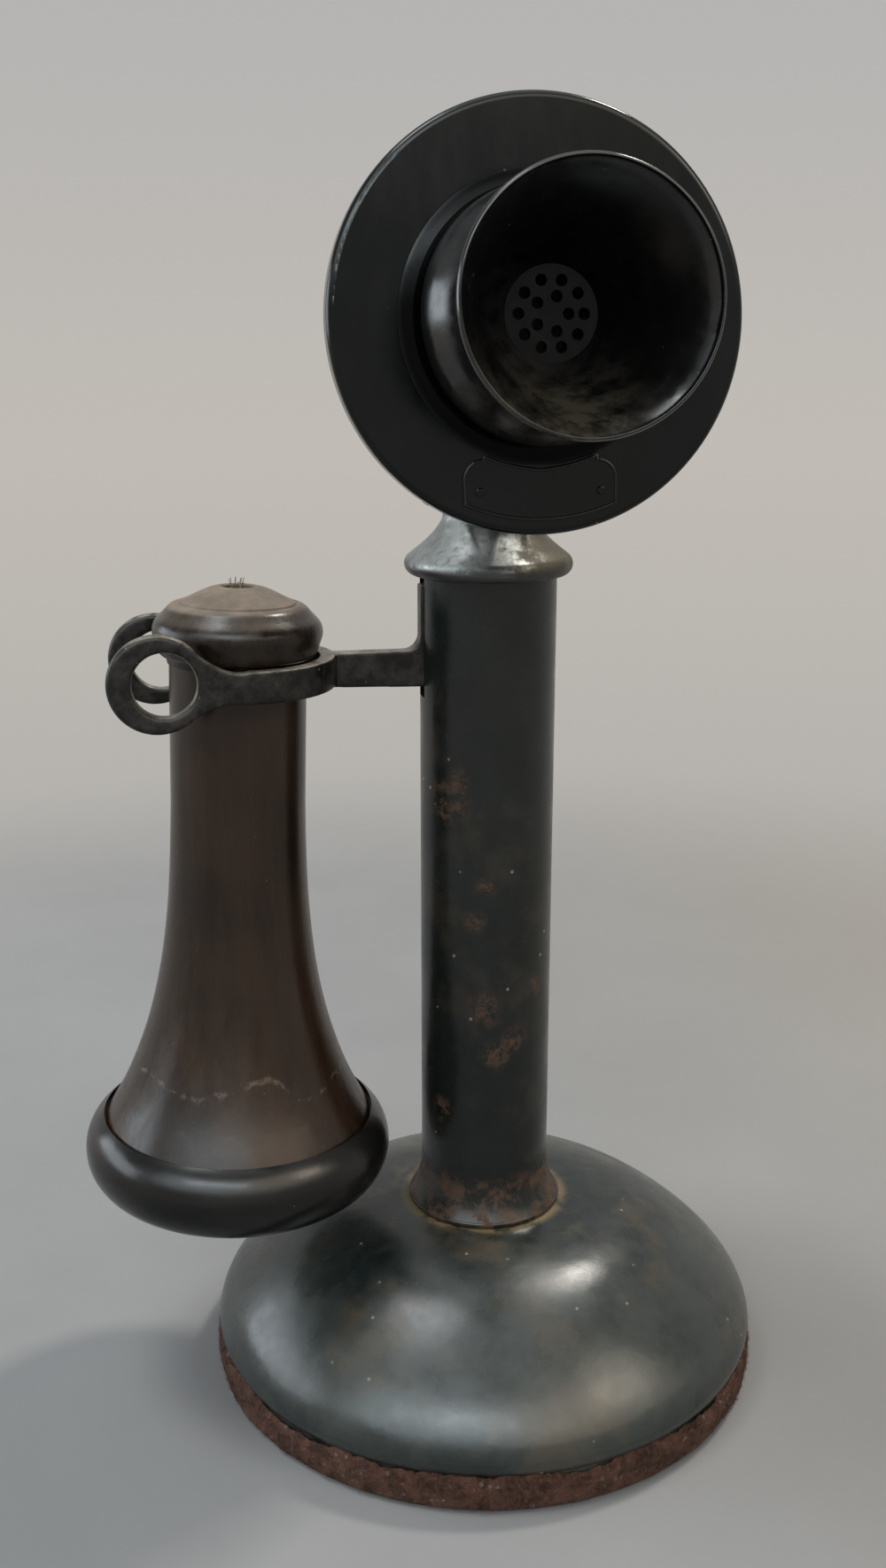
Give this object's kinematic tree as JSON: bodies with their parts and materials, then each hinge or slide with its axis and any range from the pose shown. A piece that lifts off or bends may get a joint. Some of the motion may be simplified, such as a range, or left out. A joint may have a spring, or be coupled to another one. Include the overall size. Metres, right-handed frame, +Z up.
{
  "type": "candlestick desk telephone",
  "caption": "Upright desk telephone: domed base, slender stem, tilting transmitter with a bell, and a receiver hung in a sprung fork hook.",
  "frame": {"origin": "centre of the felt sole, on the surface that the stand rests on", "axes": "+Z up along the stem, -Y the way the bell faces, -X the way the switch hook reaches"},
  "size_m": [0.1688, 0.1567, 0.3005],
  "materials": {
    "base_enamel": "aged satin",
    "stem_enamel": "aged satin",
    "plate_enamel": "gloss",
    "cup_enamel": "semi-gloss",
    "hook_metal": "worn satin",
    "worn_nickel": "worn",
    "felt": "fuzzy",
    "bell_rubber": "gloss",
    "shell_rubber": "aged satin",
    "ear_rubber": "satin",
    "insulator": "matte",
    "steel": "plain",
    "iron": "plain",
    "brass": "plain",
    "aluminium": "plain",
    "soft_rubber": "matte",
    "cotton": "frayed",
    "coil_silk": "wound"
  },
  "bodies": {
    "stand": {"base_shell": "base_enamel", "base_felt": "felt", "bottom_plate": "steel", "bottom_plate_screws": "steel", "cord_bushing": "insulator", "stem_tube": "stem_enamel", "stem_clamp_washer": "steel", "stem_clamp_nut": "steel", "perch_cap": "worn_nickel", "perch_screws": "steel", "tilt_bolt": "steel", "tilt_nut": "steel", "switch_frame": "steel", "hook_pivot_pin": "steel", "contact_spring_front": "brass", "contact_spring_middle": "brass", "contact_spring_rear": "brass", "spring_insulators": "insulator", "spring_stack_screws": "steel", "hook_return_spring": "steel"},
    "hook": {"switch_hook": "hook_metal", "hook_finger": "insulator"},
    "transmitter": {"faceplate": "plate_enamel", "faceplate_badge": "plate_enamel", "badge_rivets": "plate_enamel", "faceplate_screws": "steel", "transmitter_cup": "cup_enamel", "mouthpiece": "bell_rubber", "transmitter_diaphragm": "aluminium", "diaphragm_gasket": "soft_rubber", "button_front_electrode": "brass", "carbon_button": "brass", "button_nut": "brass", "button_bridge": "brass", "bridge_posts": "brass", "bridge_screws": "steel"},
    "receiver": {"receiver_shell": "shell_rubber", "ear_cap": "ear_rubber", "receiver_diaphragm": "iron", "receiver_cap": "shell_rubber", "cord_stub": "cotton", "pole_pieces": "iron", "receiver_coils": "coil_silk", "receiver_magnets": "iron", "magnet_block": "brass", "magnet_screw": "brass", "pole_plate": "brass"}
  },
  "joints": [
    {"name": "hook_pivot", "type": "hinge", "parent": "stand", "child": "hook", "pos_m": [-0.0065, 0, 0.181], "axis": [0, 1, 0], "range_deg": [0, 7], "stiffness_Nm_per_rad": 0.17, "springref_deg": 20.05},
    {"name": "transmitter_tilt", "type": "hinge", "parent": "stand", "child": "transmitter", "pos_m": [0, 0, 0.222], "axis": [-1, 0, 0], "range_deg": [-15, 25]},
    {"name": "receiver_lift", "type": "slide", "parent": "hook", "child": "receiver", "axis": [0, 0, 1], "range_m": [0, 0.022]}
  ]
}
